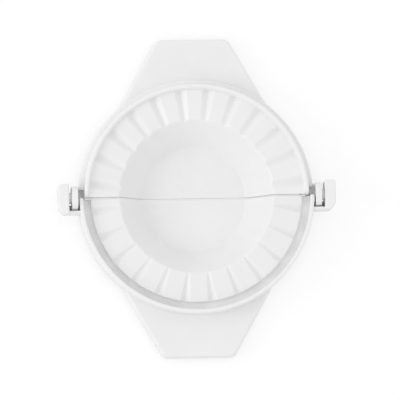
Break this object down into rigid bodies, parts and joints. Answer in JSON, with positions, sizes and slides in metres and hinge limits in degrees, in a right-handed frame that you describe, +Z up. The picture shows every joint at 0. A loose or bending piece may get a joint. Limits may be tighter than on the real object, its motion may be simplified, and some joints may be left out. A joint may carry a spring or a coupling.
{
  "type": "empanada press",
  "caption": "Hinged hand press that opens flat: half-round bowls with toothed crimping rims and tray handles fold together to seal a filled pastry.",
  "frame": {"origin": "on the table plane under the bowls, below the middle of the hinge line", "axes": "+Z up from the table, X along the hinge line, -Y towards the grooved half's handle, +Y towards the tongued half's handle"},
  "size_m": [0.118, 0.1362, 0.0196],
  "materials": {
    "white_plastic": "satin moulded polypropylene, opaque white"
  },
  "bodies": {
    "groove_half": {"groove_half": "white_plastic"},
    "tongue_half": {"tongue_half": "white_plastic"}
  },
  "joints": [
    {"name": "hinge", "type": "hinge", "parent": "groove_half", "child": "tongue_half", "pos_m": [0, 0, 0.0145], "axis": [1, 0, 0], "range_deg": [0, 180]}
  ]
}
